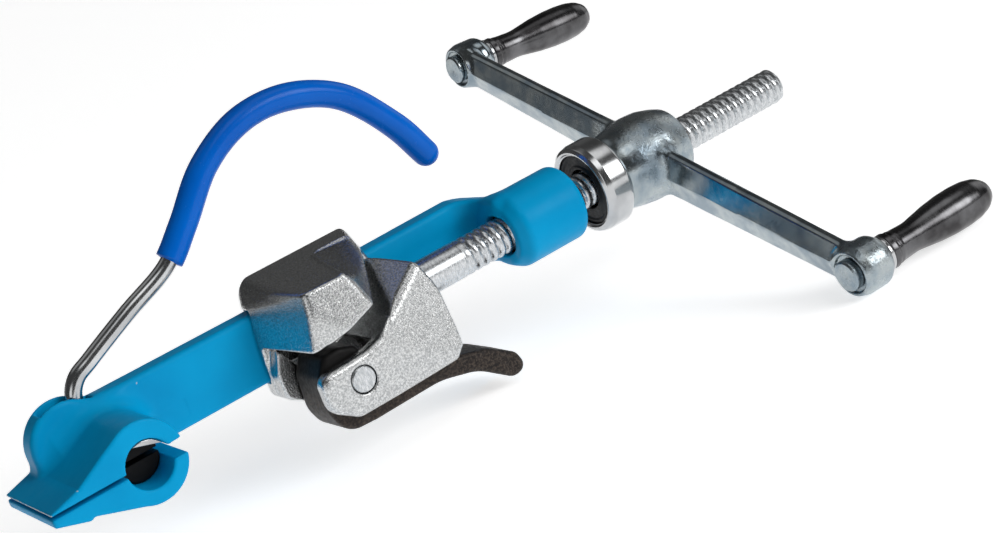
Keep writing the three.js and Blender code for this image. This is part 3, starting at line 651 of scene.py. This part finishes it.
def shell_field(x, y, z):
    """The block's outer form above the band slot and round the bar."""
    outline = rounded([
        (-92, -14.8), (-92, 15.3), (-85, 18.2, 3), (-80, 22.5, 2), (-42, 22.5, 3), (-36.2, 10), (-36.2, -14.8),
    ])
    side = within(outline, x, z)
    front_near = half_space((-91, BAR_NEAR, 5), (-84, BLOCK_NEAR, -1), (-80, BLOCK_NEAR, 18), x, y, z)
    front_far = half_space((-84.6, BLOCK_FAR, 0), (-91, BAR_NEAR, 0), (-91, BAR_NEAR, 9), x, y, z)
    rear_near = half_space((-60.9, BLOCK_NEAR, 5.7), REAR_CORNER, TOP_CORNER, x, y, z)
    rear_far = half_space(REAR_CORNER, (-36.5, BLOCK_FAR, 9.6), (-40.7, BLOCK_FAR, 20.7), x, y, z)
    near_panel = half_space((-71.3, BLOCK_NEAR, 2.2), (-60.9, BLOCK_NEAR, 5.7), (-73, -13.9, 18.7), x, y, z)
    lower_near = half_space((-80.2, -15, 10.2), (-83.8, -13.9, -1.2), (-71.3, BLOCK_NEAR, 2.2), x, y, z)
    near_side = both(both(near_panel, lower_near, 0.6), BLOCK_NEAR - y, 0.6)
    shell = both(both(both(near_side, front_near, 1.8), side, 2.0), y - BLOCK_FAR, 2.0)
    shell = both(shell, front_far, 2.0)
    shell = both(shell, top_field(x, y, z), 1.0)
    return both(both(shell, rear_near, 1.3), rear_far, 1.8)


def upper_field(x, y, z):
    below = within([*ANVIL, (-30, -60), (-110, -60), (-110, -5.3)], x, z)
    mouth = half_space((-84, BLOCK_NEAR, -0.9), (-87, SLOT_FAR, 2.8), (-71.3, BLOCK_NEAR, 2.2), x, y, z)
    shell = without(shell_field(x, y, z), both(below, y - SLOT_FAR, 1.5), 0.9)
    return without(shell, both(-mouth, both(x + 79, y - SLOT_FAR, 3.0), 1.5), 1.0)


def lower_jaw_field(x, y, z):
    near_outline = rounded([
        *SLOT_FLOOR, *BEHIND_SLOT, (-36, -21), (-39.5, -24.8, 3), (-64, -25.3, 10), (-79, -25.3, 5),
        (-87.8, -19.5, 6), (-87.8, -8, 4),
    ])
    far_outline = rounded([
        (-88, 0.5), *SLOT_FLOOR, *BEHIND_SLOT, (-36, -18), (-64, -20), (-84, -19.8, 3), (-90.8, -16, 4),
        (-90.8, -7, 6),
    ])
    pocket_outline = rounded([
        (-110, 40), (-66, 40), (-66, -4), (-61, -8, 3), (-59, -15.5, 3), (-20, -15.5), (-20, -60),
        (-110, -60),
    ])
    near = both(within(near_outline, x, z), slab(y, BLOCK_NEAR, CHEEK_FAR), 2.2)
    far = both(within(far_outline, x, z), slab(y, CHEEK_FAR - 2, 20), 1.6)
    pocket = both(within(pocket_outline, x, z), slab(y, CHEEK_NEAR, CHEEK_FAR))
    ramp = half_space((-57, -14.6, -0.2), RIDGE_NEAR, RIDGE_FAR, x, y, z)
    rear = half_space(RIDGE_FAR, RIDGE_NEAR, (-36, -12, 0), x, y, z)
    facet = half_space((-65.7, BLOCK_NEAR, -5.9), (-38.5, BLOCK_NEAR, -22.4), (-36.5, -13.3, 0), x, y, z)
    solid = both(either(near, far), facet, 0.3)
    solid = both(both(solid, np.where(x > -57, ramp, -50), 2.4), rear, 1.4)
    return without(solid, pocket, 0.7)


def block_field(x, y, z):
    solid = either(upper_field(x, y, z), lower_jaw_field(x, y, z), 0.8)
    tunnel = both(slab(y, 14.4, 24.5), slab(z, -10.9, 14.4))
    solid = without(solid, both(tunnel, slab(x, -110, -20)), 0.4)
    solid = without(solid, both(np.hypot(y, z) - SCREW_R - 0.3, -49.8 - x), 0.4)
    pin_hole = both(np.hypot(x - PIN_X, z - PIN_Z) - PIN_R - 0.3, y - 12.3)
    return without(solid, pin_hole, 0.35)


block = surface(block_field, (-92, -16.9, -25.4), (-35.9, 28.7, 22.1), 0.4)
piece("block_casting", block, "carriage", CAST, ["tension_block"])


def lever_field(x, y, z):
    outline = rounded([
        (-82, -3.2, 3), (-85.6, -9, 6), (-86.6, -21, 10), (-83, -29.8, 8), (-72, -30.4, 10),
        (-46, -30.1, 30), (-32, -33.6, 20), (-20.5, -42, 4.5), (-14.2, -41, 3.2), (-16.5, -34.6, 4),
        (-26, -28.2, 12), (-38, -25, 15), (-55, -24.6, 8), (-65.2, -22.5, 5), (-66, -11, 5), (-70, -4.6, 4),
        (-76, -2.6, 4),
    ])
    lever = both(within(outline, x, z), slab(y, CHEEK_NEAR + 0.3, CHEEK_FAR - 0.3), 1.7)
    return without(lever, np.hypot(x - PIN_X, z - PIN_Z) - PIN_R - 0.3)


lever = surface(lever_field, (-87, -11.6, -42), (-13, 6.8, -2.4), 0.45)
piece("lever", lever, "gripper", BROWN, ["gripper_lever"])


def turned_y(mesh, x, z):
    """A mesh turned about x, stood along y through (x, z)."""
    points, faces = mesh
    return points[:, [1, 0, 2]] + (x, 0, z), faces


pin = lathe(rounded([
    (BLOCK_NEAR, 0), (BLOCK_NEAR, 3.9, 0.2), (BLOCK_NEAR + 0.5, PIN_R, 0.3), (12, PIN_R, 0.4), (12, 0),
], closed=False, steps=4), 64)
piece("lever_pin", turned_y(pin, PIN_X, PIN_Z), "carriage", THREAD, ["gripper_pin"], angle=30)

# ---------------------------------------------------------------- screw
PITCH = 3.175
THREAD_FROM = -18.0


def screw_mesh(segments=64, steps=12):
    """A rolled right-hand thread, run out to a plain shank at the front and chamfered at the tip."""
    front, tip = -49.5, SCREW_TIP
    plain = np.linspace(front, THREAD_FROM - 3, 12)
    threaded = np.arange(THREAD_FROM - 3, tip - 0.01, PITCH / steps)
    x = np.concatenate([[front], plain[:-1], threaded, [tip, tip]])
    angles = np.linspace(0, 2 * math.pi, segments, endpoint=False)
    phase = x[:, None] / PITCH - angles[None, :] / (2 * math.pi)
    wave = np.abs((phase % 1) * 2 - 1)
    depth = 0.95 * (1 - wave) ** 3
    fade = np.clip((x - THREAD_FROM + 2) / 5, 0, 1)[:, None]
    radius = 6.33 - depth * fade
    chamfer = tip - x[:, None] + 5.2
    radius = np.minimum(radius, np.maximum(chamfer, 0.01))
    radius[0], radius[-1] = 0.0, 0.0
    points = np.stack([
        np.repeat(x, segments), (radius * np.cos(angles)).ravel(), (radius * np.sin(angles)).ravel(),
    ], 1)
    return points, tube_faces(len(x), segments, False)


piece("screw_thread", screw_mesh(), "carriage", THREAD, ["tension_screw"], angle=50)

# ---------------------------------------------------------------- crank
CRANK_R = 103.0
CRANK_ANGLE = math.radians(20.6)
CRANK_X = 62.5
SPINDLE_X = 56.9
SPINDLE_R = 3.6
BOSS_LENGTH = 15
DROOP = math.radians(3)
WEB_HALF, WEB_REACH = 2.2, 3.9
HUB_FRONT, HUB_REAR = 46.4, 76.0


def end_frame(side):
    """Where a crank end is: x runs along its spindle from the head."""
    y = side * CRANK_R * math.cos(CRANK_ANGLE)
    z = side * CRANK_R * math.sin(CRANK_ANGLE)
    return Matrix.Translation((SPINDLE_X, y, z)) @ Matrix.Rotation(DROOP if side > 0 else 0, 4, "Y")


def end_distances(side, x, y, z):
    """Place along a crank end's spindle and distance from it."""
    place = end_frame(side)
    axis = np.array(place.to_3x3() @ Vector((1, 0, 0)))
    centre = place.translation
    dx, dy, dz = x - centre.x, y - centre.y, z - centre.z
    along = dx * axis[0] + dy * axis[1] + dz * axis[2]
    return along, np.sqrt(np.maximum(dx * dx + dy * dy + dz * dz - along * along, 0))


def crank_field(x, a, b):
    """The forging, with a along its arms and b square to them."""
    y = a * math.cos(CRANK_ANGLE) - b * math.sin(CRANK_ANGLE)
    z = a * math.sin(CRANK_ANGLE) + b * math.cos(CRANK_ANGLE)
    from_axis = np.hypot(a, b)
    profile = rounded([
        (HUB_FRONT, 0), (HUB_FRONT, 12.6, 0.5), (49, 13.7, 6), (54, 14.8, 10), (61, 15.8, 16), (67, 15.4, 10),
        (72, 14, 8), (HUB_REAR - 0.6, 12.6, 2), (HUB_REAR, 11.6, 0.8), (HUB_REAR, 0),
    ], steps=6)
    hub = within(profile, x, from_axis)
    reach = np.clip(np.abs(a) / CRANK_R, 0, 1)
    half = 8.5 - 1.8 * reach
    middle = CRANK_X + 0.8 * reach
    slope = np.hypot(WEB_HALF, half)
    web = np.abs(x - middle) * half / slope + np.abs(b) * (WEB_HALF / slope) - WEB_REACH * half / slope
    rib = both(np.abs(x - middle) - 0.8, np.abs(b) - half - 0.35, 0.3)
    arm = both(either(both(web, np.abs(b) - half, 0.6), rib, 0.3), np.abs(a) - CRANK_R + 4)
    solid = either(hub, arm, 3.0)
    for side in (1, -1):
        along, away = end_distances(side, x, y, z)
        profile = rounded([
            (1.9, 0), (1.9, 7.7, 0.7), (5, 8.7, 3), (12.5, 8.7, 3), (BOSS_LENGTH, 7, 0.6), (BOSS_LENGTH, 0),
        ], steps=5)
        boss = within(profile, along, away)
        solid = either(solid, boss, 2.0)
        seat = np.minimum(both(away - 6.6, along - 3.2), away - SPINDLE_R - 0.3)
        solid = without(solid, both(seat, away - 12), 0.5)
    solid = without(solid, both(from_axis - 9.9, HUB_FRONT + 1.2 - x), 0.5)
    return without(solid, from_axis - 7.4)


crank_turn = Matrix.Rotation(CRANK_ANGLE, 4, "X")
crank = surface(crank_field, (45, -112.5, -16), (77, 112.5, 16), 0.5)
piece("crank", crank, "crank", PLATE, ["crank_forging"], matrix=crank_turn)


def crank_end(side, word):
    """One crank end's spindle, washer and turned grip."""
    place = end_frame(side)
    spindle = lathe(rounded([
        (0.35, 0), (0.1, 0.9, 0.3), (0, 2.6, 1), (0, 4.6, 0.2), (0.5, 5.2, 0.3), (2.9, 5.2, 0.2),
        (2.9, SPINDLE_R), (55, SPINDLE_R), (55, 0),
    ], closed=False, steps=4), 64)
    piece(f"spindle_{word}", spindle, "crank", PLATE, [f"handle_spindle_{word}"],
          matrix=place, angle=30)
    washer = lathe(rounded([(15.3, 3.9), (15.3, 6.3, 0.3), (16.8, 6.3, 0.3), (16.8, 3.9)], steps=3), 64)
    piece(f"washer_{word}", washer, "crank", STEEL, [f"handle_washer_{word}"],
          matrix=place, angle=30)
    grip = lathe(rounded([
        (17.1, 3.9), (17.1, 6.0, 0.4), (19.2, 6.15, 0.5), (20.2, 5.5, 0.5), (21.2, 5.7, 0.4), (22.3, 5.5, 0.6),
        (29.5, 5.15, 20), (34, 5.8, 14), (39.5, 6.6, 20), (46, 7.15, 30), (52, 7.22, 25), (57, 6.85, 12),
        (61, 5.9, 7), (63.8, 4.2, 3), (65.5, 1.4, 1.5), (65.6, 0.5), (65.6, 0), (57, 0), (57, 3.9),
    ], steps=6), 96)
    piece(f"turned_grip_{word}", grip, f"grip_{word}", TURNED, [f"handle_grip_{word}"],
          matrix=place, angle=40)


crank_end(-1, "near")
crank_end(1, "far")

# ---------------------------------------------------------------- thrust bearing
cup = lathe(rounded([
    (35.4, 12.9), (35.2, 13.3, 0.3), (34.6, 13.7, 0.3), (34.5, 14.3, 0.4), (35.4, 15.5, 0.8), (37.4, 16.1, 1.2),
    (38.6, 16.1), (44.4, 16.1, 1.4), (46.1, 14.5, 0.5), (46.1, 12.9),
], steps=6), 128)
piece("bearing_cup_ring", cup, "bearing_cup", STEEL, ["bearing_outer_ring"], angle=35)
seal = lathe(rounded([
    (36.8, 7.2), (36.1, 7.25, 0.3), (36.0, 8.2, 0.4), (36.4, 9, 0.5), (36.4, 11, 0.5), (36, 11.7, 0.4),
    (36.1, 12.7, 0.2), (36.8, 12.7),
], steps=4), 96)
piece("bearing_lip_seal", seal, "bearing_cup", RUBBER, ["bearing_seal"], angle=50)

# ---------------------------------------------------------------- stage
REACH = 6.0
floor_corners = [(-REACH, -REACH, 0), (REACH, -REACH, 0), (REACH, REACH, 0), (-REACH, REACH, 0)]
floor_data = bpy.data.meshes.new("floor")
floor_data.from_pydata(floor_corners, [], [(0, 1, 2, 3)])
floor = bpy.data.objects.new("floor", floor_data)
bpy.context.scene.collection.objects.link(floor)
paper = Look("paper", srgb(244, 244, 244), 0, 0.8, Specular_IOR_Level=0.2)
paper.shader.inputs["Emission Color"].default_value = (1, 1, 1, 1)
paper.shader.inputs["Emission Strength"].default_value = 0.62
paper.bump(paper.noise(0.4, 2), 0.02, 0.2)
floor_data.materials.append(paper.material)


def studio(base, patches):
    """A dim grey surround with soft bright patches, each (direction, inner and outer angle, brightness)."""
    world = bpy.data.worlds.new("studio")
    bpy.context.scene.world = world
    world.use_nodes = True
    tree = world.node_tree
    place = tree.nodes.new("ShaderNodeTexCoord").outputs["Generated"]
    total = base
    for direction, inner, outer, brightness in patches:
        facing = tree.nodes.new("ShaderNodeVectorMath")
        facing.operation = "DOT_PRODUCT"
        tree.links.new(place, facing.inputs[0])
        facing.inputs[1].default_value = Vector(direction).normalized()
        soft = tree.nodes.new("ShaderNodeMapRange")
        soft.interpolation_type = "SMOOTHSTEP"
        tree.links.new(facing.outputs["Value"], soft.inputs["Value"])
        soft.inputs["From Min"].default_value = math.cos(math.radians(outer))
        soft.inputs["From Max"].default_value = math.cos(math.radians(inner))
        soft.inputs["To Max"].default_value = brightness
        add = tree.nodes.new("ShaderNodeMath")
        if isinstance(total, float):
            add.inputs[0].default_value = total
        else:
            tree.links.new(total, add.inputs[0])
        tree.links.new(soft.outputs["Result"], add.inputs[1])
        total = add.outputs[0]
    tree.links.new(total, tree.nodes["Background"].inputs["Strength"])
    tree.nodes["Background"].inputs["Color"].default_value = (1, 1, 1, 1)


studio(0.06, [
    ((0.53, -0.78, 0.4), 6, 18, 5.5),
    ((0.05, -0.55, 0.83), 9, 19, 1.4),
    ((0.42, -0.12, 0.89), 8, 18, 0.9),
    ((-0.78, -0.6, 0.2), 8, 20, 1.1),
    ((-0.2, 0.4, 0.89), 10, 22, 0.3),
    ((-0.55, 0.83, 0.06), 8, 24, 0.15),
    ((0.95, 0.1, 0.35), 10, 24, 0.9),
    ((0.45, 0.85, 0.32), 12, 26, 0.03),
])


def softbox(name, place, target, width, height, watts):
    light = bpy.data.lights.new(name, "AREA")
    light.shape = "RECTANGLE"
    light.size, light.size_y, light.energy = width, height, watts
    lamp = bpy.data.objects.new(name, light)
    lamp.location = place
    lamp.visible_glossy = False
    lamp.rotation_euler = (Vector(target) - Vector(place)).to_track_quat("-Z", "Y").to_euler()
    bpy.context.scene.collection.objects.link(lamp)


softbox("key", (1.0, -1.7, 0.95), (0, 0, 0.04), 1.4, 1.0, 16)

camera_data = bpy.data.cameras.new("camera")
camera_data.sensor_width = 36
camera_data.lens = 77.1
camera = bpy.data.objects.new("camera", camera_data)
CAMERA_PLACE = Vector((-327.8, -608.8, 194.6)) * MM + ORIGIN
CAMERA_RIGHT = Vector((0.7786, -0.5267, -0.3411))
CAMERA_UP = Vector((0.4385, 0.0678, 0.8962))
CAMERA_BACK = CAMERA_RIGHT.cross(CAMERA_UP)
CAMERA_TURN = Matrix((CAMERA_RIGHT, CAMERA_UP, CAMERA_BACK)).transposed()
camera.matrix_world = Matrix.Translation(CAMERA_PLACE) @ CAMERA_TURN.to_4x4()
bpy.context.scene.collection.objects.link(camera)
bpy.context.scene.camera = camera
bpy.context.scene.view_settings.view_transform = "Standard"
